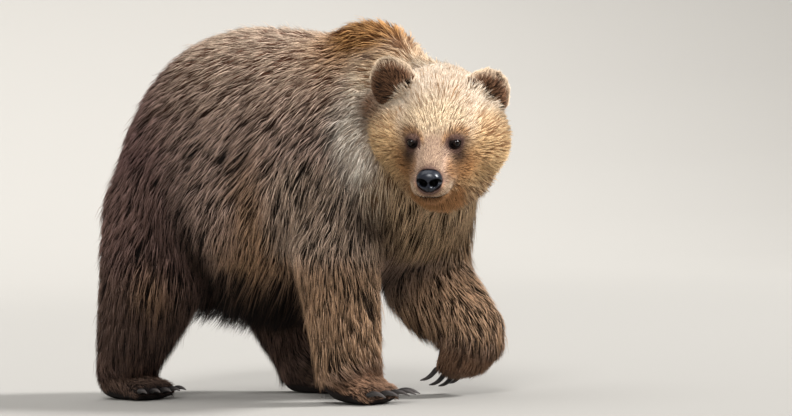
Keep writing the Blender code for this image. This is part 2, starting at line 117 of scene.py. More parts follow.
# Looks
#
# A look: hair length, depth of the coat, width of a lock, locks in a square metre, how far the tips leave
# the skin straight ahead, how far they hang where they face down, and the colours of root and tip.
Look = namedtuple("Look", "length depth width density free hang root tip")
LOOKS = {
    "flank": Look(0.086, 0.026, 0.0024, 57000, 0.15, 0.3, (8, 5, 4), (240, 206, 188)),
    # back: paler where the coat faces up, partly its own colour and partly painted top light
    "back": Look(0.064, 0.023, 0.0022, 69000, 0.4, 0.0, (104, 68, 51), (255, 230, 204)),
    "rump": Look(0.08, 0.026, 0.0024, 57000, 0.2, 0.3, (6, 4, 3), (166, 130, 124)),
    "hump": Look(0.056, 0.025, 0.0021, 69000, 0.5, 0.0, (92, 54, 26), (252, 192, 124)),
    "gold": Look(0.09, 0.026, 0.0023, 61000, 0.15, 0.5, (20, 11, 7), (244, 196, 154)),
    "shade": Look(0.085, 0.026, 0.0022, 61000, 0.15, 0.4, (7, 4, 3), (76, 58, 47)),
    # belly: its own long fringe, in colours darkened by painted shade under the trunk
    "belly": Look(0.145, 0.03, 0.0022, 46000, 0.1, 1.4, (3, 2, 2), (58, 38, 27)),
    "nape": Look(0.056, 0.024, 0.002, 72000, 0.3, 0.0, (150, 112, 78), (255, 238, 210)),
    "ruff": Look(0.074, 0.03, 0.0021, 72000, 0.25, 0.2, (232, 214, 196), (255, 252, 240)),
    "chest": Look(0.09, 0.03, 0.0024, 57000, 0.2, 0.7, (34, 22, 13), (255, 218, 176)),
    "shoulder": Look(0.084, 0.025, 0.0023, 63000, 0.15, 0.3, (9, 6, 5), (242, 212, 188)),
    "forearm": Look(0.072, 0.019, 0.002, 81000, 0.2, 0.8, (20, 12, 8), (242, 198, 160)),
    "forepaw": Look(0.036, 0.012, 0.002, 90000, 0.15, 0.3, (26, 16, 12), (182, 142, 114)),
    "thigh": Look(0.084, 0.025, 0.0023, 61000, 0.2, 0.8, (6, 4, 4), (170, 136, 126)),
    "shank": Look(0.072, 0.019, 0.0019, 81000, 0.2, 1.2, (7, 4, 4), (162, 132, 118)),
    "hindpaw": Look(0.036, 0.012, 0.0021, 84000, 0.15, 0.3, (22, 16, 14), (122, 98, 84)),
    # painted shade: dark at the foot of the ears and behind the cheeks
    "ear_foot_shade": Look(0.036, 0.014, 0.0017, 120000, 0.3, 0.2, (20, 12, 9), (150, 108, 78)),
    "toe": Look(0.018, 0.005, 0.0016, 165000, 0.1, 0.2, (18, 13, 13), (88, 68, 60)),
    "rim": Look(0.006, 0.002, 0.0011, 320000, 0.0, 0.0, (84, 64, 57), (150, 122, 104)),
    "tail": Look(0.065, 0.022, 0.0017, 78000, 0.3, 0.6, (20, 13, 11), (130, 102, 88)),
    "crown": Look(0.034, 0.01, 0.0015, 168000, 0.2, 0.0, (176, 138, 100), (242, 230, 212)),
    "brow": Look(0.028, 0.0085, 0.0013, 202000, 0.15, 0.0, (100, 64, 36), (246, 224, 190)),
    # eyebrow: dark brow hair over each eye, partly painted shade in the crease there
    "eyebrow": Look(0.0215, 0.008, 0.0013, 240000, 0.3, 0.0, (52, 31, 18), (206, 160, 116)),
    "cheek": Look(0.038, 0.015, 0.0015, 158000, 0.25, 0.1, (130, 78, 40), (255, 222, 170)),
    "inner_cheek": Look(0.026, 0.011, 0.0015, 180000, 0.25, 0.1, (38, 20, 11), (226, 168, 112)),
    "jowl": Look(0.044, 0.018, 0.0018, 123000, 0.2, 0.5, (118, 78, 48), (255, 220, 176)),
    "bridge": Look(0.0085, 0.004, 0.0012, 330000, 0.0, 0.0, (106, 84, 72), (194, 166, 140)),
    "muzzle": Look(0.0135, 0.006, 0.0014, 230000, 0.15, 0.1, (116, 91, 80), (226, 196, 172)),
    "temple": Look(0.02, 0.008, 0.0015, 190000, 0.1, 0.0, (176, 136, 94), (240, 222, 194)),
    "eye_ring": Look(0.008, 0.003, 0.0011, 320000, 0.0, 0.0, (24, 16, 14), (60, 42, 36)),
    "lid": Look(0.01, 0.004, 0.0012, 280000, 0.1, 0.0, (58, 40, 34), (120, 92, 78)),
    "tear": Look(0.014, 0.005, 0.0014, 210000, 0.1, 0.0, (22, 14, 11), (76, 55, 45)),
    "lip": Look(0.0065, 0.003, 0.0012, 330000, 0.0, 0.0, (150, 116, 92), (250, 226, 196)),
    "mouth": Look(0.004, 0.002, 0.001, 90000, 0.0, 0.0, (16, 11, 11), (34, 25, 23)),
    "chin": Look(0.03, 0.009, 0.0014, 200000, 0.25, 0.9, (66, 38, 20), (224, 166, 112)),
    "ear": Look(0.03, 0.005, 0.0015, 180000, 1.0, 0.0, (84, 56, 40), (236, 212, 182)),
    "ear_cup": Look(0.028, 0.004, 0.0016, 135000, 0.6, 0.0, (12, 8, 6), (136, 98, 72)),
    "sole": Look(0.004, 0.0008, 0.0016, 0, 0.0, 0.0, (30, 24, 23), (46, 38, 36)),
}
LENGTH, DEPTH, WIDTH, DENSITY, FREE, HANG = range(6)  # places in the row of a look's numbers
ROOT, TIP = slice(6, 9), slice(9, 12)
LEG_LOOKS = {"fore": ("shoulder", "forearm", "forepaw"), "hind": ("thigh", "shank", "hindpaw")}

# A patch of a look: its centre and radii, and how strongly it covers. It is on both sides, or on the right
# side alone where its centre is given there, with Y below 0.
Patch = namedtuple("Patch", "look centre radii strength")
# A zone of a look on the head: ranges ahead, out to either side and up, each from where it begins to where
# it covers. Head patches are given there as well, from midway between the eyes.
Zone = namedtuple("Zone", "look ahead out up strength")
FLANK_PATCHES = (
    Patch("gold", (-0.02, 0.26, 0.42), (0.14, 0.15, 0.1), 1.0),
    Patch("gold", (0.03, 0.28, 0.55), (0.06, 0.2, 0.16), 0.9),
)
THIGH_PATCHES = (
    Patch("shade", (-0.235, 0.26, 0.45), (0.055, 0.12, 0.16), 1.1),
    Patch("gold", (-0.39, 0.29, 0.37), (0.06, 0.1, 0.06), 0.6),
)
RUFF_PATCHES = (
    Patch("ruff", (0.345, 0.215, 0.795), (0.052, 0.1, 0.105), 1.4),
    Patch("shade", (0.375, 0.205, 0.53), (0.055, 0.07, 0.05), 0.95),
    Patch("shade", (0.425, -0.14, 0.44), (0.025, 0.045, 0.075), 0.9),
    Patch("ruff", (0.365, 0.215, 0.675), (0.035, 0.08, 0.055), 0.9),
    Patch("nape", (0.385, 0.2, 0.605), (0.03, 0.06, 0.035), 0.8),
)
HEAD_LOOKS = (
    Zone("cheek", (-0.13, -0.09), None, (0.03, -0.02), 1.0),
    Zone("cheek", (-0.16, -0.12), (0.08, 0.115), (0.08, 0.025), 0.8),
    Zone("jowl", None, None, (-0.095, -0.15), 1.0),
    Zone("brow", (-0.08, -0.03), (0.11, 0.07), (-0.03, 0.0), 1.0),
    Patch("inner_cheek", (0.01, 0.082, -0.062), (0.06, 0.042, 0.054), 1.2),
    Zone("muzzle", (0.015, 0.045), (0.08, 0.06), None, 1.0),
    Zone("bridge", (-0.005, 0.03), (0.052, 0.034), (-0.09, -0.06), 1.0),
    Zone("bridge", (-0.03, 0.0), (0.03, 0.012), (0.03, 0.0), 0.8),
    # Painted shade: a dark band down each side of the muzzle, from the eye towards the nose.
    Patch("inner_cheek", (0.055, 0.062, -0.056), (0.045, 0.014, 0.034), 0.9),
    Zone("lip", (0.05, 0.085), None, (-0.064, -0.082), 1.0),
    Zone("chin", (-0.09, -0.04), (0.085, 0.06), (-0.112, -0.12), 1.0),
)
TEAR = Patch("tear", (0.012, 0.067, -0.03), (0.036, 0.026, 0.036), 1.0)

# Coat
LONGEST_SPIKE = 0.021  # hair up to this long is a plain spike
SPIKE_SHARE = 0.75  # and of the longer hair that share, the others being bent locks
GOES_SHORT = (0.05, 0.03)  # hair lengths from the ways of long coat to those of short
ROOT_SINK = 0.0015
LENGTHS = (0.7, 1.2)  # of the look's length, from lock to lock
WIDTHS = (0.65, 1.35)  # of its width
TURNS = (0.2, 0.1)  # off the lie, from place to place and from lock to lock
BEND = 0.05  # how far the middle lies aside, as a share of the length
FREEDOM = (0.5, 1.5)  # of the look's freedom
LIFT_PALE = (0.75, 1.1)  # how high the tips of pale locks stand in the coat's depth
LIFT_DARK = (0.25, 0.8)
MIDDLE_LIFT = 0.72  # of the tip's lift
HANG_SHARE = 0.55  # of a lock's length, for a hang of 1
CLUMP = 3.2  # locks that lean together, on average
LEAN = (0.25, 0.7)  # how far long locks go over to their clump
LEAN_SHORT = (0.3, 0.7)  # and short ones
PALE_SHARE = 0.31  # of the long locks; they lie on top, and the others stay dark under them
PALE_SHORT = 0.6  # of the short ones
ALIKE = 0.68  # of the locks, that are as pale or as dark as their clump
PALE_SPIKE = 0.25  # how far the foot of a spike already has the colour of its tip
UNEVEN = 0.12  # how much locks differ in tone, from lock to lock and from place to place
DARK_TONES = (0.0, 0.07)  # of dark locks, from 0 for the colour of the root to 1 for that of the tip
SHORT_TONE = 0.38  # added to the dark locks of short coat
STRAY_SHARE = 0.08  # of the locks, that stand out of the coat
STRAY_LIFT, STRAY_WIDTH = 1.6, 0.6  # times those of other locks
HAIR_LOWEST = 0.0006  # no hair comes nearer the floor
LOCK_TRIANGLES = {True: 4, False: 10}  # of a spike and of a bent lock
PIECE_TRIANGLES = 188000  # a piece of the coat has fewer
BAKE_PATCH = 0.003  # the part of the UV map that a lock takes

# Claws
CLAW_SWELL = 0.0022
CLAW_ROOT = 0.05  # from the tip backwards, where the swelling is full
CLAW_LOWEST = 0.0004
CLAW_BANDS = ((0.0, (20, 18, 19)), (1.0, (74, 68, 66)))

# Studio
LENS = 127.27
SENSOR = 36.0
CAMERA_PLACE = (5.266, -5.938, 0.5)
CAMERA_TURNS = (math.radians(90.225), math.radians(2.0), math.radians(40.0))
LIGHTS = (  # name, place, spread in degrees and power
    ("key", (4.1, 2.0, 3.9), 14, 4.8),
    ("sky", (-1.0, -1.0, 6.0), 60, 1.7),
    ("fill", (3.6, -5.0, 4.0), 20, 3.0),
)
WORLD_LIGHT = {"Color": (1.0, 0.985, 0.96, 1.0), "Strength": 0.22}
FLOOR_RINGS = (1.0, 4.0, 9.0, 14.0)  # radii of the flat floor
WALL_CURVE = 6.0  # radius of the curve by which it rises into the wall
WALL_STEPS = 8
WALL_TOP = 10.0
FLOOR_TURNS = 64
FLOOR_COLOUR = (152, 149, 144)


def unit(vectors):
    """The vectors with a length of 1."""
    return vectors / np.maximum(np.linalg.norm(vectors, axis=-1, keepdims=True), 1e-9)


def norms(vectors):
    """How long the vectors are."""
    return np.linalg.norm(vectors, axis=1)


def ramp(values, low, high):
    """0 below low and 1 above high, or the other way round where low is the higher, eased in between."""
    t = np.clip((values - low) / (high - low), 0.0, 1.0)
    return t * t * (3 - 2 * t)


def bell(places, centre, radii):
    """1 at the centre, fading smoothly away over the radii, or over one radius all round."""
    return np.exp(-(((places - np.array(centre)) / np.array(radii)) ** 2).sum(1))


def wander(places, size, seed, waves=14):
    """Smooth noise of about that size across, mostly between -1 and 1, as waves in random directions."""
    draw = np.random.default_rng(seed)
    turns = draw.normal(size=(3, waves)) * (3.7 / size)
    return np.sin(places @ turns + draw.uniform(0, 2 * math.pi, waves)).sum(1) * math.sqrt(0.5 / waves)


def linear(colour):
    """A display colour of 0 to 255 as linear light."""
    c = np.array(colour, float) / 255
    return np.where(c <= 0.04045, c / 12.92, ((c + 0.055) / 1.055) ** 2.4)


def corners(obj):
    """Where an object's vertices are, as an array."""
    places = np.empty(len(obj.data.vertices) * 3, np.float32)
    obj.data.vertices.foreach_get("co", places)
    return places.reshape(-1, 3).astype(float)


def place_corners(vertices, places):
    """Puts the vertices of a mesh at these places."""
    vertices.foreach_set("co", places.astype(np.float32).ravel())


def new_object(name, data):
    """An object in the scene that shows the mesh, light or camera."""
    obj = bpy.data.objects.new(name, data)
    bpy.context.scene.collection.objects.link(obj)
    return obj


def finished(name, bm):
    """The mesh under construction as an object."""
    mesh = bpy.data.meshes.new(name)
    bm.to_mesh(mesh)
    bm.free()
    return new_object(name, mesh)


def ball(name, turns, rings):
    """A ball with a radius of 1."""
    bm = bmesh.new()
    bmesh.ops.create_uvsphere(bm, u_segments=turns, v_segments=rings, radius=1.0)
    return finished(name, bm)


def dressed(obj, material):
    """Shades the object smoothly and gives it the material."""
    obj.data.shade_smooth()
    obj.data.materials.append(material)


def applied(obj):
    """The object with its modifiers made real."""
    graph = bpy.context.evaluated_depsgraph_get()
    mesh = bpy.data.meshes.new_from_object(obj.evaluated_get(graph))
    obj.modifiers.clear()
    obj.data = mesh
    return obj


def middle(node):
    """The middle of a node's box."""
    low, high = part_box(node)
    return np.array((low + high) / 2)


def claw_names(leg):
    """The five claws of a paw."""
    return [f"{leg}_claw_{i}" for i in range(1, 6)]


def beside_ear(word, face, offset):
    """A place off the middle of an ear, in the face's frame, its Y outwards."""
    ahead, out, up = offset
    return middle("ear_" + word) + face.turned((ahead, out * SIDES[word], up))


def tree_of(places, chosen):
    """The chosen places, for finding the nearest."""
    tree = KDTree(len(chosen))
    for i in chosen:
        tree.insert(places[i], i)
    tree.balance()
    return tree


def meeting(node, other):
    """The middle of the cut between two nodes."""
    places = corners(other)
    tree = tree_of(places, range(len(places)))
    near = [v.co for v in node.data.vertices if tree.find(v.co)[2] < 0.003]
    return np.array(near).mean(0)


class Frame:
    """An origin with three axes of its own."""

    def __init__(self, origin, axes):
        self.origin, self.axes = origin, np.array(axes)

    def inside(self, places):
        """Places of the model, in this frame."""
        return (places - self.origin) @ self.axes.T

    def outside(self, places):
        """Places of this frame, in the model's."""
        return np.asarray(places) @ self.axes + self.origin

    def turned(self, vectors):
        """Directions of this frame, in the model's."""
        return np.asarray(vectors) @ self.axes


def face_frame():
    """The head's frame: its origin midway between the eyes, X along the muzzle, Y to the left."""
    left, right, nose = middle("eye_left"), middle("eye_right"), middle("nose")
    origin = (left + right) / 2
    side = unit(left - right)
    ahead = nose - origin
    ahead = unit(ahead - side * (ahead @ side))
    along = ahead * math.cos(MUZZLE_DROP) + np.cross(ahead, side) * math.sin(MUZZLE_DROP)
    return Frame(origin, (along, side, np.cross(along, side)))


def fused_solids(nodes, flesh, face):
    """All the flesh with eyes and nose as one closed mesh, finer in the face."""
    bm = bmesh.new()
    for name in flesh + ["nose", "eye_left", "eye_right"]:
        bm.from_mesh(nodes[name].data)
    bmesh.ops.remove_doubles(bm, verts=bm.verts, dist=1e-6)
    bm.normal_update()
    for vertex in bm.verts:
        vertex.co += vertex.normal * SWELL
    plug_seats(bm, nodes)
    skin = finished("skin", bm)
    remesh = skin.modifiers.new("fuse", "REMESH")
    remesh.mode = "VOXEL"
    remesh.voxel_size = VOXEL
    applied(skin)
    bm = bmesh.new()
    bm.from_mesh(skin.data)
    refine(bm, face, lambda local: in_box(local, FACE_REACH))
    refine(bm, face, lambda local: in_box(local, FINE_REACH))
    eyes = [face.inside(middle("eye_" + word)) for word in SIDES]
    refine(bm, face, lambda local: near_features(local, eyes))
    bmesh.ops.triangulate(bm, faces=bm.faces)
    bm.to_mesh(skin.data)
    bm.free()
    return skin


def plug_seats(bm, nodes):
    """Fills the seats of the claws with balls, a little way along from the end beside the paw."""
    for leg in LEGS:
        paw = middle(leg + "_paw")
        for name in claw_names(leg):
            claw = corners(nodes[name])
            near = claw[np.argsort(((claw - paw) ** 2).sum(1))[:8]].mean(0)
            place = Matrix.Translation(near + unit(claw.mean(0) - near) * PLUG_DEPTH)
            bmesh.ops.create_icosphere(bm, subdivisions=2, radius=PLUG_RADIUS, matrix=place)


def in_box(local, reach):
    """Which places are within the reach along all three axes."""
    low, high = np.array(reach).T
    return ((local > low) & (local < high)).all(1)


def near_features(local, eyes):
    """Which places are beside an eye or the line of the mouth."""
    near = in_box(local, FINE_REACH) & (mouth_line(local, 0.01) > 0.3)
    for eye in eyes:
        near |= norms(local - eye) < LID_REACH
    return near


def refine(bm, face, chosen):
    """Splits the faces where the function of a place in the face's frame is true."""
    bm.verts.index_update()
    held = chosen(face.inside(np.array([v.co for v in bm.verts])))
    edges = [e for e in bm.edges if held[e.verts[0].index] and held[e.verts[1].index]]
    bmesh.ops.subdivide_edges(bm, edges=edges, cuts=1, use_grid_fill=True, smooth=0.0)


class Surface:
    """A mesh as arrays, with what is needed to smooth values over it and to walk on it."""

    def __init__(self, obj):
        mesh = obj.data
        mesh.calc_loop_triangles()
        self.obj = obj
        self.places = corners(obj)
        faces = np.empty(len(mesh.loop_triangles) * 3, np.int32)
        mesh.loop_triangles.foreach_get("vertices", faces)
        self.faces = faces.reshape(-1, 3)
        pairs = np.empty(len(mesh.edges) * 2, np.int32)
        mesh.edges.foreach_get("vertices", pairs)
        pairs = pairs.reshape(-1, 2)
        pairs = np.concatenate((pairs, pairs[:, ::-1]))
        pairs = pairs[np.argsort(pairs[:, 0], kind="stable")]
        self.neighbours = pairs[:, 1]
        self.counts = np.bincount(pairs[:, 0], minlength=len(self.places))
        self.starts = np.concatenate(([0], np.cumsum(self.counts)[:-1]))

    def around(self, values):
        """The mean of each vertex's neighbours."""
        total = np.add.reduceat(values[self.neighbours], self.starts, axis=0)
        return total / self.counts.reshape((-1,) + (1,) * (values.ndim - 1))

    def smoothed(self, values, passes, share=SUPPLE):
        """The values, each moved by that share towards its neighbours' mean in every pass."""
        for _ in range(passes):
            values = values + (self.around(values) - values) * share
        return values

    def normals(self):
        """The direction out of the surface at every vertex."""
        a, b, c = (self.places[self.faces[:, i]] for i in range(3))
        flat = np.cross(b - a, c - a)
        total = np.zeros_like(self.places)
        for i in range(3):
            for axis in range(3):
                total[:, axis] += np.bincount(self.faces[:, i], flat[:, axis], len(total))
        return unit(total)

    def press(self, depth):
        """Moves every vertex inwards by its depth."""
        self.places = self.places - self.normals() * depth[:, None]

    def tree(self):
        """The faces, for finding the nearest."""
        return BVHTree.FromPolygons(self.places.tolist(), self.faces.tolist())


def part_shares(surface, nodes, flesh):
    """By node name, how much each vertex belongs to that part, soft at the borders."""
    places, faces, owners = [], [], []
    for i, name in enumerate(flesh):
        mesh = nodes[name].data
        offset = len(places)
        places += [v.co for v in mesh.vertices]
        for polygon in mesh.polygons:
            faces.append([offset + v for v in polygon.vertices])
            owners.append(i)
    tree = BVHTree.FromPolygons(places, faces)
    owners = np.array(owners)
    nearest = np.array([tree.find_nearest(p)[2] for p in surface.places.tolist()])
    shares = surface.smoothed(np.eye(len(flesh))[owners[nearest]], EAR_BLUR)
    ears = [flesh.index(ear) for ear in EARS]
    sharp = shares[:, ears]
    shares = surface.smoothed(shares, LABEL_BLUR - EAR_BLUR)
    shares[:, ears] = 0
    shares *= ((1 - sharp.sum(1)) / np.maximum(shares.sum(1), 1e-6))[:, None]
    shares[:, ears] = sharp
    return {name: shares[:, i] for i, name in enumerate(flesh)}


def look_row(look):
    """A look as one row of numbers, with its colours as linear light."""
    return np.concatenate((look[:6], linear(look.root), linear(look.tip)))


class Painting:
    """What every vertex looks like, as rows of a look's numbers, painted over one another in this order."""

    def __init__(self, surface, shares, face, bones):
        self.places, self.normals = surface.places, surface.normals()
        self.shares, self.face, self.bones = shares, face, bones
        self.along, self.height = self.places[:, 0], self.places[:, 2]
        self.both_sides = np.stack((self.along, np.abs(self.places[:, 1]), self.height), 1)
        self.rows = np.tile(look_row(LOOKS["flank"]), (len(self.places), 1))
        self.trunk()
        self.legs()
        self.neck()
        self.head()
        self.eyes_and_nose()
        self.ears()
        self.mottle()

    def paint(self, look, mask):
        """Covers the rows with a look, as far as the mask goes from 0 to 1."""
        mask = np.clip(mask, 0, 1)[:, None]
        self.rows = self.rows * (1 - mask) + look_row(LOOKS[look]) * mask

    def patches(self, patches):
        """Paints patches that are given in the model's frame."""
        for look, centre, radii, strength in patches:
            where = self.places if centre[1] < 0 else self.both_sides
            self.paint(look, bell(where, centre, radii) * strength)

    def share(self, *names):
        """How much each vertex belongs to the parts."""
        return sum(self.shares[name] for name in names)

    def trunk(self):
        """The rump dark, gold above and behind the elbow, the belly partly painted shade, the back partly
        painted top light, and the tail.
        """
        self.paint("rump", ramp(self.along, -0.1, -0.42))
        self.patches(FLANK_PATCHES)
        # Painted shade: the underside of the trunk dark, partly its own darker fur.
        self.paint("belly", ramp(self.height, 0.42, 0.34) * self.share("trunk"))
        # Painted top light: the coat that faces up is paler, partly its own colour.
        self.paint("back", ramp(self.normals[:, 2], 0.2, 0.85) * ramp(self.along, -0.54, -0.24))
        self.paint("tail", self.share("tail"))

    def legs(self):
        """The legs by their parts, the toes round the claws, and the soles; then the thigh's patches."""
        for leg in LEGS:
            for look, part in zip(LEG_LOOKS[leg[:4]], LEG_PARTS):
                self.paint(look, self.share(f"{leg}_{part}"))
            for claw in self.bones[leg + "_claws"]:
                self.paint("toe", bell(self.places, claw, 0.042) * 1.1)
            facing = ramp(self.normals @ self.bones[leg + "_palm"], 0.3, 0.7)
            self.paint("sole", facing * self.share(leg + "_paw"))
        self.patches(THIGH_PATCHES)

    def neck(self):
        """Chest below, pale ruff behind the cheeks, nape and hump on top."""
        neck, height = self.share("neck"), self.height
        breast = bell(self.places, self.bones["breast"] + (0.02, 0.0, -0.16), (0.16, 0.17, 0.2))
        self.paint("chest", breast * ramp(self.normals[:, 0], -0.1, 0.4) * 1.2)
        before = ramp(self.along, 0.33, 0.43)
        self.paint("chest", before * ramp(height, 0.74, 0.62) * ramp(height, 0.36, 0.42))
        self.paint("chest", neck * ramp(height, 0.66, 0.54))
        self.paint("ruff", neck * ramp(height, 0.62, 0.72))
        self.patches(RUFF_PATCHES)
        self.paint("nape", neck * ramp(self.normals[:, 2], 0.25, 0.65))
        hump = self.bones["withers"] + (0.03, 0, 0.06)
        self.paint("hump", bell(self.places, hump, (0.13, 0.2, 0.1)) * 1.5)

    def head(self):
        """The face, the foot of the ears in painted shade, the line of the mouth, and arcs and tear marks
        by the eyes.
        """
        local = self.face.inside(self.places)
        x, y, z = local.T
        mirror = np.stack((x, np.abs(y), z), 1)
        head = np.clip(self.share("head", "jaw", *EARS), 0, 1)
        self.paint("crown", head)
        behind = ramp(x, -0.135, -0.17) * ramp(mirror[:, 1], 0.085, 0.115)
        # Painted shade behind the cheeks, below the ears.
        self.paint("ear_foot_shade", head * behind * ramp(z, 0.09, 0.04) * ramp(z, -0.13, -0.06))
        for item in HEAD_LOOKS:
            if isinstance(item, Patch):
                self.paint(item.look, bell(mirror, item.centre, item.radii) * item.strength)
                continue
            mask = head
            for values, limits in zip(mirror.T, (item.ahead, item.out, item.up)):
                if limits:
                    mask = mask * ramp(values, *limits)
            self.paint(item.look, mask * item.strength)
        self.paint("mouth", 1.5 * mouth_line(local, 0.0075))
        # An arc over each eye: dark brow hair, partly painted shade in the crease above the eye.
        around = norms(mirror[:, 1:] - (0.06, 0.0))
        arc = np.exp(-(((around - 0.024) / 0.007) ** 2))
        self.paint("eyebrow", arc * ramp(z, -0.002, 0.012) * ramp(x, -0.06, -0.03))
        self.paint(TEAR.look, bell(mirror, TEAR.centre, TEAR.radii))

    def eyes_and_nose(self):
        """The lids, the dark rings at their edges, and the bare rim of the nose."""
        for word in SIDES:
            local = eye_frame(self.face, word).inside(self.places)
            near = ramp(np.abs(local[:, 2]), 0.04, 0.03)
            reach = lid_reach(local)
            self.paint("lid", ramp(reach, 2.8, 2.0) * near)
            self.paint("eye_ring", ramp(reach, 1.6, 1.3) * near)
        pad = self.face.inside(self.places) - self.face.inside(middle("nose"))
        self.paint("rim", ramp(norms(pad / NOSE_RADII), 1.38, 1.24))

    def ears(self):
        """Painted shade at the foot, pale towards the crown, and darker in the cup, which faces forward."""
        for word, ear in zip(SIDES, EARS):
            # Painted shade round the foot of each ear.
            foot = beside_ear(word, self.face, (0.02, 0.03, -0.085))
            self.paint("ear_foot_shade", bell(self.places, foot, 0.045))
            temple = beside_ear(word, self.face, (0.02, -0.045, -0.045))
            self.paint("temple", bell(self.places, temple, 0.045) * 1.2)
            self.paint("ear", self.share(ear) * 1.3)
            cup = beside_ear(word, self.face, (0.0, -0.008, -0.016))
            spread = norms(self.places - cup)
            forward = ramp(self.normals @ self.face.axes[0], -0.1, 0.35)
            self.paint("ear_cup", ramp(self.share(ear), 0.25, 0.5) * forward * ramp(spread, 0.066, 0.052))

    def mottle(self):
        """Makes the colours a little uneven, in small spots and over large areas."""
        fine = 0.12 * wander(self.places, 0.018, SEED + 3)
        broad = 0.1 * wander(self.places, 0.2, SEED + 4)
        self.rows[:, ROOT.start:] *= (1 + fine + broad)[:, None]


def mouth_line(local, width):
    """1 along the line of the mouth, from the corners round the front of the muzzle."""
    x, y, z = local.T
    level = -0.115 + 0.025 * ramp(x, 0.108, 0.035)
    return np.exp(-(((z - level) / width) ** 2)) * ramp(x, 0.036, 0.068)


def lie_of_coat(surface, shares, face, bones):
    """The way that the hair lies at every vertex, along the skin."""
    places = surface.places
    lie = np.zeros_like(places)

    def add(name, vectors):
        """Lays the hair of a part along the vectors."""
        lie[:] = lie + shares[name][:, None] * unit(np.asarray(vectors, float))

    add("trunk", (-0.55, 0, -0.8))
    add("tail", (-0.25, 0, -1.0))
    add("neck", unit(bones["withers"] - bones["nape"]) + (0, 0, -1.0))
    for leg in LEGS:
        top, joint, wrist, toes = bones[leg]
        add(leg + "_upper", unit(joint - top) + (-0.15, 0, 0))
        add(leg + "_lower", unit(wrist - joint))
        add(leg + "_paw", unit(toes - wrist))
    fan = unit(places - face.outside((0.112, 0.0, -0.06)))
    for name in ("head", "jaw"):
        add(name, fan + (0, 0, -0.15))
    for word, ear in zip(SIDES, EARS):
        foot = middle(ear) + unit(bones["skull"] - middle(ear)) * 0.05
        lie += shares[ear][:, None] * 1.5 * unit(places - foot)
        eye = middle("eye_" + word)
        lie += bell(places, eye, 0.026)[:, None] * unit(places - eye) * 2
    normals = surface.normals()
    lie = surface.smoothed(unit(flattened(lie, normals)), LIE_BLUR)
    return unit(flattened(lie, normals))


def flattened(vectors, normals):
    """The vectors without what points out of the surface."""
    return vectors - normals * (vectors * normals).sum(1)[:, None]


def find_bones(nodes, face):
    """Places that steer the coat: down each leg, and along the neck."""
    bones = {
        "nape": meeting(nodes["head"], nodes["neck"]),
        "breast": meeting(nodes["neck"], nodes["trunk"]),
        "skull": face.outside((-0.12, 0.0, -0.03)),
    }
    bones["withers"] = np.array((bones["breast"][0] - 0.12, 0.0, 0.98))
    for leg in LEGS:
        upper, lower, paw = (nodes[f"{leg}_{part}"] for part in LEG_PARTS)
        claws = bones[leg + "_claws"] = [middle(name) for name in claw_names(leg)]
        toes = np.mean(claws, axis=0)
        bones[leg] = (meeting(upper, nodes["trunk"]), meeting(upper, lower), meeting(lower, paw), toes)
        bones[leg + "_palm"] = unit(np.cross(claws[-1] - claws[0], toes - middle(leg + "_paw")))
    return bones


def depth_by_claws(surface, bones, depth):
    """The depth of the coat, less where the claws leave the toes, so that the skin holds them."""
    for leg in LEGS:
        for claw in bones[leg + "_claws"]:
            near = norms(surface.places - claw)
            depth = depth * (1 - 0.85 * ramp(near, 0.055, 0.03))
    return depth


def softness(surface, shares):
    """How much smoothing moves each vertex, less in the parts that have fine shape."""
    soft = np.full(len(surface.places), SUPPLE)
    for name, stiff in STIFFNESS.items():
        soft += (stiff - SUPPLE) * shares[name]
    return np.maximum(soft, 0.05)[:, None]


def drawn_in(surface, depth, soft):
    """Moves the surface in by the coat's depth, smoothing on the way."""
    for _ in range(PULL_STEPS):
        surface.press(depth / PULL_STEPS)
        surface.places = surface.smoothed(surface.places, 1, soft * 0.8)


def eye_frame(face, word):
    """An eye's frame: across the slit, up, and out along its look."""
    side = SIDES[word]
    out = unit(face.turned((0.88, 0.46 * side, 0.06)))
    across = unit(face.turned((-0.46, 0.88 * side, math.tan(EYE_SLANT))))
    across = unit(across - out * (across @ out))
    return Frame(middle("eye_" + word) - out * EYE_SET, (across, np.cross(out, across) * side, out))


def narrow_muzzle(surface, face):
    """Narrows the muzzle under its hair, most on top, so that it rises as a ridge from the cheeks."""
    local = face.inside(surface.places)
    x, y, z = local.T
    ahead = ramp(x, -0.01, 0.045) * ramp(np.abs(y), 0.11, 0.07)
    squeeze = 0.12 + 0.16 * ramp(z, -0.095, -0.045)
    local[:, 1] = y * (1 - squeeze * ahead)
    surface.places = face.outside(local)


def spread_ears(surface, shares, face):
    """Grows the ears forward and towards the crown, and lowers the crown in front of them."""
    for word, ear in zip(SIDES, EARS):
        hold = beside_ear(word, face, (0.0, 0.05, 0.05))
        grow = np.clip(shares[ear], 0, 1)
        stretch = (surface.places - hold) * EAR_GROWTH + face.axes[0] * EAR_AHEAD
        surface.places = surface.places + stretch * grow[:, None]
        dent = bell(surface.places, beside_ear(word, face, (0.03, -0.05, -0.035)), 0.045)
        surface.press(dent * (1 - grow) * CROWN_DENT)


def lid_reach(local):
    """How far out a place lies from the middle of an eye, 1 at the edge of the pointed opening."""
    return (np.abs(local[:, :2] / LID_OPENING) ** 1.6).sum(1) ** (1 / 1.6)


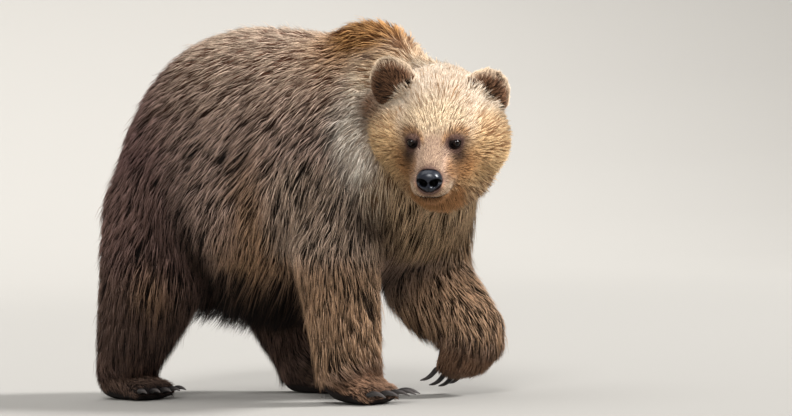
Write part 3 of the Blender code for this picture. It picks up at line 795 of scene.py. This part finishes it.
def sculpt_eyes(surface, face):
    """Lids round each eyeball, with an opening that the eyeball fills."""
    lid_radius = EYE_RADIUS + LID_THICKNESS
    for word in SIDES:
        eye = eye_frame(face, word)
        local = eye.inside(surface.places)
        reach = lid_reach(local)
        distance = norms(local[:, :2])
        near = (distance < LID_REACH) & (local[:, 2] > -0.012)
        dome = np.sqrt(np.maximum(lid_radius**2 - distance**2, 0))
        closed = ramp(reach, 2.4, 1.1)
        height = np.maximum(local[:, 2] * (1 - closed) + dome * closed, np.where(dome > 0, dome, -1))
        height = np.where(reach < 1.0, np.minimum(height, EYE_RADIUS * 0.2), height)
        local[:, 2] = np.where(near, height, local[:, 2])
        surface.places = np.where(near[:, None], eye.outside(local), surface.places)


def hair_allowed(surface, face):
    """0 where the eyeballs and the nose stand in the skin, 1 elsewhere."""
    allowed = np.ones(len(surface.places))
    for word in SIDES:
        local = eye_frame(face, word).inside(surface.places)
        allowed[(lid_reach(local) < 1.4) & (np.abs(local[:, 2]) < 0.03)] = 0
    local = face.inside(surface.places) - face.inside(middle("nose"))
    allowed[(norms(local / NOSE_RADII) < 1.0)] = 0
    return allowed


def seat_nose(surface, face):
    """Sinks the skin behind the nose pad, so that the nostrils have room."""
    centre = face.inside(middle("nose"))
    local = face.inside(surface.places) - centre
    sunk = ramp(norms(local / NOSE_RADII), 1.1, 0.97)
    local[:, 0] += (np.minimum(local[:, 0], -0.004) - local[:, 0]) * sunk
    surface.places = face.outside(local + centre)


def sculpt_mouth(surface, face):
    """Presses the line of the mouth into the muzzle."""
    surface.press(mouth_line(face.inside(surface.places), 0.0045) * MOUTH_DEPTH)


def colour_attribute(mesh, name, colours):
    """Stores a colour for each vertex."""
    rgba = np.ones((len(colours), 4), np.float32)
    rgba[:, :3] = colours
    mesh.attributes.new(name, "FLOAT_COLOR", "POINT").data.foreach_set("color", rgba.ravel())


def number_attribute(mesh, name, values):
    """Stores a number for each vertex."""
    mesh.attributes.new(name, "FLOAT", "POINT").data.foreach_set("value", values.astype(np.float32))


def write_back(surface):
    """Gives the moved places to the mesh."""
    place_corners(surface.obj.data.vertices, surface.places)
    surface.obj.data.update()
    surface.obj.data.shade_smooth()


def sampled(surface, density, draw):
    """Random places on the surface: the triangle of each and its share of that triangle's corners."""
    a, b, c = (surface.places[surface.faces[:, i]] for i in range(3))
    area = norms(np.cross(b - a, c - a)) / 2
    wanted = np.cumsum(area * density[surface.faces].mean(1))
    marks = np.arange(int(wanted[-1])) + draw.random(int(wanted[-1]))
    triangle = np.minimum(np.searchsorted(wanted, marks), len(wanted) - 1)
    first, second = draw.random((2, len(triangle)))
    flip = first + second > 1
    first, second = np.where(flip, 1 - first, first), np.where(flip, 1 - second, second)
    return triangle, np.stack((1 - first - second, first, second), 1)


def blended(surface, values, triangle, corner_shares):
    """The values of vertices at places inside triangles."""
    return (values[surface.faces[triangle]] * corner_shares[..., None]).sum(1)


class Walker:
    """Follows the lie of the coat over the skin."""

    def __init__(self, surface, lie):
        self.surface = surface
        self.normals = surface.normals()
        self.lie = lie
        self.tree = surface.tree()

    def step(self, places, directions, lengths):
        """Where a walk along the directions ends on the skin, with the normal and the lie there."""
        found = [self.tree.find_nearest(p) for p in (places + directions * lengths[:, None]).tolist()]
        where = np.array([f[0] for f in found])
        face = self.surface.faces[[f[2] for f in found]]
        return where, unit(self.normals[face].mean(1)), unit(self.lie[face].mean(1))


def leaders_of(places, draw, clump):
    """For each lock, the lock that its clump leans towards."""
    chosen = np.flatnonzero(draw.random(len(places)) < 1 / clump)
    tree = tree_of(places, chosen.tolist())
    return np.array([tree.find(p)[1] for p in places.tolist()])


class Locks:
    """Every lock of the coat, a row of each array: its line of three places, its width and its colours."""

    def __init__(self, surface, rows, lie, draw):
        self.triangle, corner_shares = sampled(surface, rows[:, DENSITY], draw)
        walker = Walker(surface, lie)
        self.roots, self.row, normal, way = (
            blended(surface, values, self.triangle, corner_shares)
            for values in (surface.places, rows, walker.normals, lie)
        )
        count = len(self.roots)
        turn = wander(self.roots, 0.06, SEED + 1) * TURNS[0] + draw.normal(size=count) * TURNS[1]
        self.length = self.row[:, LENGTH] * draw.uniform(*LENGTHS, count)
        self.shortness = ramp(self.row[:, LENGTH], *GOES_SHORT)
        self.choose_kinds(draw, count)
        self.lay_down(draw, count, walker, unit(normal), unit(way), turn[:, None])
        self.gather(draw, count)
        self.colour(draw, count)
        self.width = self.row[:, WIDTH] * draw.uniform(*WIDTHS, count)
        self.width *= np.where(self.strays, STRAY_WIDTH, 1.0)
        self.spike = (self.row[:, LENGTH] < LONGEST_SPIKE) | (draw.random(count) < SPIKE_SHARE)

    def choose_kinds(self, draw, count):
        """Which locks stray from the coat, which are pale, and towards which lock each one leans."""
        self.strays = draw.random(count) < STRAY_SHARE
        pale = draw.random(count) < PALE_SHARE + (PALE_SHORT - PALE_SHARE) * self.shortness
        self.leader = leaders_of(self.roots, draw, CLUMP)
        self.pale = np.where(draw.random(count) < ALIKE, pale[self.leader], pale)

    def lay_down(self, draw, count, walker, normal, way, turn):
        """Two steps over the skin along the lie, raised by the coat's depth, and hanging from below."""
        lift = np.where(self.pale, draw.uniform(*LIFT_PALE, count), draw.uniform(*LIFT_DARK, count))
        lift = self.row[:, DEPTH] * lift * np.where(self.strays, STRAY_LIFT, 1.0)
        way = unit(way + np.cross(normal, way) * turn)
        half, self.normal, half_way = walker.step(self.roots, way, self.length * 0.5)
        self.aside = np.cross(self.normal, half_way)
        way = unit(half_way + self.aside * turn)
        walked, end_normal, _ = walker.step(half, way, self.length * 0.5)
        free = self.row[:, FREE] * draw.uniform(*FREEDOM, count)
        straight = half + way * (self.length * 0.5)[:, None]
        end = walked + (straight - walked) * np.clip(free, 0, 1)[:, None] + end_normal * lift[:, None]
        facing_down = ramp(self.normal[:, 2], 0.3, -0.4)
        drop = UP * (self.row[:, HANG] * facing_down * self.length * HANG_SHARE)[:, None]
        middles = half + self.normal * (lift * MIDDLE_LIFT)[:, None] - drop * 0.3
        self.line = np.stack((self.roots - normal * ROOT_SINK, middles, end - drop), 1)

    def gather(self, draw, count):
        """Leans the locks to their clumps, and bends each one a little to a side."""
        pull = np.where(self.shortness > 0.5, draw.uniform(*LEAN_SHORT, count), draw.uniform(*LEAN, count))
        pull *= ramp(self.row[:, LENGTH], 0.008, 0.024)
        line = self.line
        line[:, 1] += (line[self.leader, 1] - line[:, 1]) * (pull * 0.35)[:, None]
        line[:, 2] += (line[self.leader, 2] - line[:, 2]) * pull[:, None]
        line[:, 1] += self.aside * (draw.normal(size=count) * BEND * self.length)[:, None]
        line[:, :, 2] = np.maximum(line[:, :, 2], HAIR_LOWEST)

    def colour(self, draw, count):
        """The colours of root and tip, the tips of dark locks staying near the colour of the root."""
        uneven = UNEVEN * draw.normal(size=count) + UNEVEN * wander(self.roots, 0.12, SEED + 2)
        dark = draw.uniform(*DARK_TONES, count) + SHORT_TONE * self.shortness
        tone = np.where(self.pale, 1.0 + uneven, dark + uneven * (0.25 + 0.75 * self.shortness))
        tone += (0.85 - tone) * ramp(self.row[:, LENGTH], 0.024, 0.01) * 0.6
        self.root = self.row[:, ROOT]
        self.tip = self.root + (self.row[:, TIP] - self.root) * np.clip(tone, 0.0, 1.15)[:, None]


def lock_arrays(line, normal, width, root, tip, spike):
    """Vertices, triangles, vertex colours and places in the bake patch of closed locks with three sides."""
    count = len(line)
    along = unit(line[:, 2] - line[:, 0])
    side = unit(np.cross(along, normal))
    over = np.cross(side, along)
    turns = [side * 0.5 - over * 0.18, -side * 0.5 - over * 0.18, over * 0.3]
    rings = ((0, 1.2),) if spike else ((0, 0.8), (1, 1.0))
    parts, colours = [], []
    for step, size in rings:
        for turn in turns:
            parts.append(line[:, step] + turn * (width * size)[:, None])
            colours.append(root + (tip - root) * (PALE_SPIKE if spike else (0.0, 0.48)[step]))
    parts.append(line[:, 2])
    colours.append(tip)
    per = len(parts)
    places = np.stack(parts, 1).reshape(-1, 3)
    colours = np.stack(colours, 1).reshape(-1, 3)
    faces, patch = [(0, 2, 1)], [((0.0, 0.0), (0.66, 0.0), (0.33, 0.0))]
    for ring in range(len(rings) - 1):
        for i in range(3):
            j, a = (i + 1) % 3, ring * 3
            low, high, left, right = ring * 0.5, ring * 0.5 + 0.5, i / 3, (i + 1) / 3
            faces += [(a + i, a + j, a + 3 + j), (a + i, a + 3 + j, a + 3 + i)]
            patch += [((left, low), (right, low), (right, high))]
            patch += [((left, low), (right, high), (left, high))]
    last, low = (len(rings) - 1) * 3, (len(rings) - 1) * 0.5
    for i in range(3):
        faces.append((last + i, last + (i + 1) % 3, per - 1))
        patch.append(((i / 3, low), ((i + 1) / 3, low), ((i + 0.5) / 3, 1.0)))
    faces = (np.array(faces)[None] + (np.arange(count) * per)[:, None, None]).reshape(-1, 3)
    patch = np.tile(np.array(patch).reshape(1, -1, 2), (count, 1, 1))
    return places, faces, colours, patch


def mesh_from(name, places, faces):
    """A smooth mesh of triangles."""
    mesh = bpy.data.meshes.new(name)
    mesh.vertices.add(len(places))
    place_corners(mesh.vertices, places)
    mesh.loops.add(faces.size)
    mesh.loops.foreach_set("vertex_index", faces.astype(np.int32).ravel())
    mesh.polygons.add(len(faces))
    mesh.polygons.foreach_set("loop_start", np.arange(0, faces.size, 3, dtype=np.int32))
    mesh.update(calc_edges=True)
    mesh.shade_smooth()
    return mesh


def unwrapped(places, centre, axis):
    """An unwrap round an axis through the centre: the angle round it and the way along it, 0 to 1."""
    axis = unit(np.asarray(axis, float))
    side = unit(np.cross(axis, UP if abs(axis[2]) < 0.9 else (1.0, 0.0, 0.0)))
    out = places - centre
    angle = np.arctan2(out @ np.cross(axis, side), out @ side) / (2 * math.pi) + 0.5
    along = out @ axis
    along = (along - along.min()) / (np.ptp(along) + 1e-6)
    return np.stack((angle, along), 1) * 0.98 + 0.01


def coat_piece(name, locks, chosen, uv, material):
    """One piece of the coat from the chosen locks, the bent ones first."""
    parts = []
    offset = 0
    for spike in (False, True):
        some = locks.spike[chosen] == spike
        picked = chosen[some]
        if not len(picked):
            continue
        args = (locks.line, locks.normal, locks.width, locks.root, locks.tip)
        places, faces, colours, patch = lock_arrays(*(values[picked] for values in args), spike)
        spot = uv[some][:, None, :] + (patch - 0.5) * BAKE_PATCH
        parts.append((places, faces + offset, colours, spot.reshape(-1, 2)))
        offset += len(places)
    places, faces, colours, spots = (np.concatenate(arrays) for arrays in zip(*parts))
    mesh = mesh_from(name, places, faces)
    colour_attribute(mesh, "coat", colours)
    mesh.uv_layers.new(name="OFBake").data.foreach_set("uv", spots.astype(np.float32).ravel())
    obj = new_object(name, mesh)
    mesh.materials.append(material)
    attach(obj, "root")


def make_coat(surface, shares, rows, lie, face, bones):
    """The whole coat, in pieces that each hold one part of the body or a length of it."""
    material = coat_material()
    locks = Locks(surface, rows, lie, np.random.default_rng(SEED))
    names = list(shares)
    table = np.stack([shares[n] for n in names], 1)
    owner = table[surface.faces[locks.triangle, 0]].argmax(1)
    neck = bones["nape"] - bones["breast"]
    groups = {  # the nodes of each, and an axis to unwrap it round: a place and a direction
        "head": (["head", "jaw", *EARS], bones["skull"], face.axes[0]),
        "neck": (["neck"], (bones["nape"] + bones["breast"]) / 2, neck),
        "trunk": (["trunk", "tail"], middle("trunk"), (1, 0, 0)),
    }
    for leg in LEGS:
        top, joint, wrist, _ = bones[leg]
        groups[leg] = ([f"{leg}_{part}" for part in LEG_PARTS], joint, wrist - top)
    for group, (members, centre, axis) in groups.items():
        chosen = np.flatnonzero(np.isin(owner, [names.index(m) for m in members]))
        along = (locks.line[chosen, 0] - centre) @ unit(np.asarray(axis, float))
        chosen = chosen[np.argsort(along)]
        triangles = np.cumsum(np.where(locks.spike[chosen], LOCK_TRIANGLES[True], LOCK_TRIANGLES[False]))
        count = math.ceil(triangles[-1] / PIECE_TRIANGLES)
        cuts = np.searchsorted(triangles, np.arange(1, count) * triangles[-1] / count)
        for i, some in enumerate(np.split(chosen, cuts)):
            uv = unwrapped(locks.line[some, 0], centre, axis)
            coat_piece(f"coat_{group}_{i + 1}", locks, some, uv, material)


def set_values(node, values):
    """Sets sockets of a node that nothing is linked to."""
    for socket, value in values.items():
        node.inputs[socket].default_value = value
    return node


def new_material(name, values):
    """A material whose shader has these values on its own sockets."""
    made = bpy.data.materials.new(name)
    made.use_nodes = True
    return made, made.node_tree, set_values(made.node_tree.nodes["Principled BSDF"], values)


def new_node(tree, kind, values):
    """A shader node of that kind with these values."""
    return set_values(tree.nodes.new("ShaderNode" + kind), values)


def link(tree, node, output, other, socket):
    """Feeds an output of one node to a socket of another."""
    tree.links.new(node.outputs[output], other.inputs[socket])


def attribute_node(tree, name):
    """A node that reads what is stored for the vertices."""
    node = new_node(tree, "Attribute", {})
    node.attribute_name = name
    return node


def banded_colour(tree, shader, name, stops):
    """Colours that follow a stored number, as stops of a number and a colour."""
    band = new_node(tree, "ValToRGB", {})
    elements = band.color_ramp.elements
    while len(elements) < len(stops):
        elements.new(0.5)
    for element, (place, colour) in zip(elements, stops):
        element.position = place
        element.color = (*linear(colour), 1.0)
    link(tree, attribute_node(tree, name), "Fac", band, "Fac")
    link(tree, band, "Color", shader, "Base Color")


def painted_colour(tree, shader, name, scale, contrast):
    """The stored colour, with fine uneven spots over it."""
    where = new_node(tree, "TexCoord", {})
    noise = new_node(tree, "TexNoise", {"Scale": scale, "Detail": 2.0})
    spread = new_node(tree, "MapRange", {"To Min": 1 - contrast, "To Max": 1 + contrast})
    mix = new_node(tree, "VectorMath", {})
    mix.operation = "MULTIPLY"
    link(tree, where, "Object", noise, "Vector")
    link(tree, noise, "Fac", spread, "Value")
    link(tree, attribute_node(tree, name), "Color", mix, 0)
    link(tree, spread, "Result", mix, 1)
    link(tree, mix, "Vector", shader, "Base Color")


def add_bump(tree, shader, scale, strength, cells=False):
    """Fine relief, of noise or of cells."""
    where = new_node(tree, "TexCoord", {})
    texture = new_node(tree, "TexVoronoi" if cells else "TexNoise", {"Scale": scale})
    bump = new_node(tree, "Bump", {"Strength": strength, "Distance": RELIEF})
    link(tree, where, "Object", texture, "Vector")
    link(tree, texture, "Distance" if cells else "Fac", bump, "Height")
    link(tree, bump, "Normal", shader, "Normal")


def coat_material():
    """Hair, in the colours of each lock."""
    made, tree, shader = new_material("coat_hair", {"Roughness": 0.62, "Specular IOR Level": 0.12})
    painted_colour(tree, shader, "coat", 220.0, 0.25)
    return made


def skin_material():
    """The dull hide under the coat, in the colours of its roots."""
    made, tree, shader = new_material("skin_hide", {"Roughness": 0.75, "Specular IOR Level": 0.12})
    painted_colour(tree, shader, "coat", 500.0, 0.3)
    add_bump(tree, shader, 900.0, 0.5)
    return made


def make_eye(face, word):
    """An eyeball with its cornea, coloured in rings round its look."""
    obj = ball("eyeball_" + word, 48, 32)
    local = corners(obj)
    angle = np.arccos(np.clip(local[:, 2], -1, 1))
    bulge = 1 + CORNEA * ramp(angle, 0.75, 0.25)
    places = eye_frame(face, word).outside(local * (EYE_RADIUS * bulge)[:, None])
    place_corners(obj.data.vertices, places)
    number_attribute(obj.data, "gaze", angle)
    if word == "right":
        obj.data.flip_normals()
    dressed(obj, eye_material())
    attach(obj, "root")
    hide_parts("eye_" + word)


def eye_material():
    """Pupil, iris and white under a wet coat."""
    made, tree, shader = new_material("eye_wet", {
        "Roughness": 0.12,
        "Specular IOR Level": 0.05,
        "Coat Weight": 0.8,
        "Coat IOR": 1.28,
        "Coat Roughness": 0.04,
    })
    banded_colour(tree, shader, "gaze", EYE_BANDS)
    return made


def nose_shape(way):
    """The nose pad, from directions out of its middle: its places, and how far each is in a nostril."""
    x, y, z = (way * NOSE_RADII).T
    side = np.abs(y)
    y = y * (1 - 0.3 * ramp(z, -0.006, -0.03)) * (1 + 0.05 * ramp(z, 0.0, 0.02))
    x = x - 0.3 * np.maximum(x - 0.02, 0)
    x = x + 0.003 * np.exp(-(((side - 0.02) / 0.008) ** 2 + ((z - 0.006) / 0.008) ** 2))
    front = ramp(way[:, 0], 0.05, 0.45)
    pit = np.zeros(len(x))
    for t in np.linspace(0, 1, 9):
        out = NOSTRIL_START[0] + NOSTRIL_REACH[0] * t
        up = NOSTRIL_START[1] + NOSTRIL_ARCH * math.sin(math.pi * t) + NOSTRIL_REACH[1] * t
        size = NOSTRIL_SIZE - NOSTRIL_TAPER * t
        ball = ((side - out) / size) ** 2 + ((z - up) / size) ** 2
        pit = np.maximum(pit, np.exp(-(ball**2)) * (1 - 0.5 * t))
    x = x - front * NOSTRIL_DEPTH * pit
    groove = np.exp(-((y / GROOVE[0]) ** 2)) * ramp(z, 0.004, -0.004)
    x = x - front * GROOVE[1] * groove
    return np.stack((x, y, z), 1), ramp(pit * front, 0.18, 0.45)


def make_nose(face):
    """The nose pad, with nostrils that run out to the sides, painted shade inside them, and a groove down
    its front.
    """
    obj = ball("nose_pad", 144, 96)
    places, inside = nose_shape(corners(obj)[:, [2, 0, 1]])
    place_corners(obj.data.vertices, face.outside(places + face.inside(middle("nose"))))
    # Painted shade: the nostrils near black inside.
    colours = linear(LEATHER) * (1 - inside)[:, None] + linear(NOSTRIL_SHADE) * inside[:, None]
    colour_attribute(obj.data, "leather", colours)
    number_attribute(obj.data, "gloss", 0.5 * (1 - inside))
    dressed(obj, nose_material())
    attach(obj, "root")
    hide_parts("nose")


def nose_material():
    """Moist leather of fine cells, with no gloss inside the nostrils."""
    made, tree, shader = new_material("nose_leather", {
        "Roughness": 0.4,
        "Specular IOR Level": 0.1,
        "Coat Roughness": 0.28,
        "Coat Tint": (0.8, 0.9, 1.0, 1.0),
    })
    link(tree, attribute_node(tree, "gloss"), "Fac", shader, "Coat Weight")
    painted_colour(tree, shader, "leather", 300.0, 0.25)
    add_bump(tree, shader, 620.0, 0.35, cells=True)
    return made


def make_claws(nodes, leg, material):
    """The five claws of a paw, rounder and at the root stouter than their solids."""
    paw = middle(leg + "_paw")
    names = claw_names(leg)
    bm = bmesh.new()
    for name in names:
        bm.from_mesh(nodes[name].data)
    bmesh.ops.remove_doubles(bm, verts=bm.verts, dist=1e-5)
    bm.normal_update()
    reach = max((v.co - Vector(paw)).length for v in bm.verts)
    for vertex in bm.verts:
        share = min((reach - (vertex.co - Vector(paw)).length) / CLAW_ROOT, 1.0)
        vertex.co += vertex.normal * CLAW_SWELL * share
        vertex.co.z = max(vertex.co.z, CLAW_LOWEST)
    obj = finished("claws_" + leg, bm)
    smooth = obj.modifiers.new("round", "SUBSURF")
    smooth.levels = smooth.render_levels = 2
    applied(obj)
    away = norms(corners(obj) - paw)
    number_attribute(obj.data, "along", ramp(away, np.percentile(away, 10), away.max()))
    dressed(obj, material)
    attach(obj, "root")
    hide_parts(*names)


def claw_material():
    """Horn, paler towards the tip."""
    made, tree, shader = new_material("claw_horn", {"Roughness": 0.38})
    banded_colour(tree, shader, "along", CLAW_BANDS)
    add_bump(tree, shader, 260.0, 0.3)
    return made


def make_floor():
    """A round pale floor that rises into a wall far out."""
    profile = [(radius, 0.0) for radius in FLOOR_RINGS]
    for i in range(1, WALL_STEPS + 1):
        angle = math.pi / 2 * i / WALL_STEPS
        profile.append((FLOOR_RINGS[-1] + WALL_CURVE * math.sin(angle), WALL_CURVE * (1 - math.cos(angle))))
    profile.append((FLOOR_RINGS[-1] + WALL_CURVE, WALL_TOP))
    bm = bmesh.new()
    rings = []
    for radius, height in profile:
        turns = [2 * math.pi * i / FLOOR_TURNS for i in range(FLOOR_TURNS)]
        rings.append([bm.verts.new((radius * math.cos(t), radius * math.sin(t), height)) for t in turns])
    bm.faces.new(rings[0])
    for low, high in zip(rings, rings[1:]):
        for i in range(FLOOR_TURNS):
            j = (i + 1) % FLOOR_TURNS
            bm.faces.new((low[i], low[j], high[j], high[i]))
    bmesh.ops.recalc_face_normals(bm, faces=bm.faces)
    floor = finished("floor", bm)
    paper = new_material("floor_paper", {"Base Color": (*linear(FLOOR_COLOUR), 1.0), "Roughness": 0.9})[0]
    dressed(floor, paper)


def make_lights():
    """An even light from all round, and soft suns that shine towards the bear."""
    world = bpy.data.worlds.new("studio")
    world.use_nodes = True
    set_values(world.node_tree.nodes["Background"], WORLD_LIGHT)
    bpy.context.scene.world = world
    for name, place, spread, power in LIGHTS:
        light = bpy.data.lights.new(name, "SUN")
        light.angle = math.radians(spread)
        light.energy = power
        obj = new_object(name, light)
        obj.location = place
        obj.rotation_euler = (-Vector(place)).to_track_quat("-Z", "Y").to_euler()


def make_camera():
    """The camera, from the front right side."""
    camera = bpy.data.cameras.new("camera")
    camera.sensor_width = SENSOR
    camera.lens = LENS
    obj = new_object("camera", camera)
    obj.location = CAMERA_PLACE
    obj.rotation_euler = CAMERA_TURNS
    bpy.context.scene.camera = obj
    bpy.context.scene.view_settings.view_transform = "Standard"


def make_skin(nodes, flesh, face, bones):
    """The skin, and what the coat needs: the surface, its parts, its looks and the lie of the hair."""
    skin = fused_solids(nodes, flesh, face)
    surface = Surface(skin)
    shares = part_shares(surface, nodes, flesh)
    soft = softness(surface, shares)
    surface.places = surface.smoothed(surface.places, ROUNDING, soft)
    rows = Painting(surface, shares, face, bones).rows
    rows[:, DEPTH] = depth_by_claws(surface, bones, rows[:, DEPTH])
    drawn_in(surface, rows[:, DEPTH], soft)
    narrow_muzzle(surface, face)
    spread_ears(surface, shares, face)
    lie = lie_of_coat(surface, shares, face, bones)
    sculpt_mouth(surface, face)
    sculpt_eyes(surface, face)
    rows[:, DENSITY] *= hair_allowed(surface, face)
    seat_nose(surface, face)
    write_back(surface)
    colour_attribute(skin.data, "coat", rows[:, ROOT])
    skin.data.materials.append(skin_material())
    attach(skin, "root")
    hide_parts(*flesh)
    return surface, shares, rows, lie


def main():
    """Builds skin, coat, eyes, nose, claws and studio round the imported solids."""
    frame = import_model()
    nodes = frame["nodes"]
    flesh = [s["node"] for s in frame["record"]["subparts"] if s["material_slot"] == "coat"]
    face = face_frame()
    bones = find_bones(nodes, face)
    surface, shares, rows, lie = make_skin(nodes, flesh, face, bones)
    make_coat(surface, shares, rows, lie, face, bones)
    for word in SIDES:
        make_eye(face, word)
    make_nose(face)
    horn = claw_material()
    for leg in LEGS:
        make_claws(nodes, leg, horn)
    make_floor()
    make_lights()
    make_camera()


main()
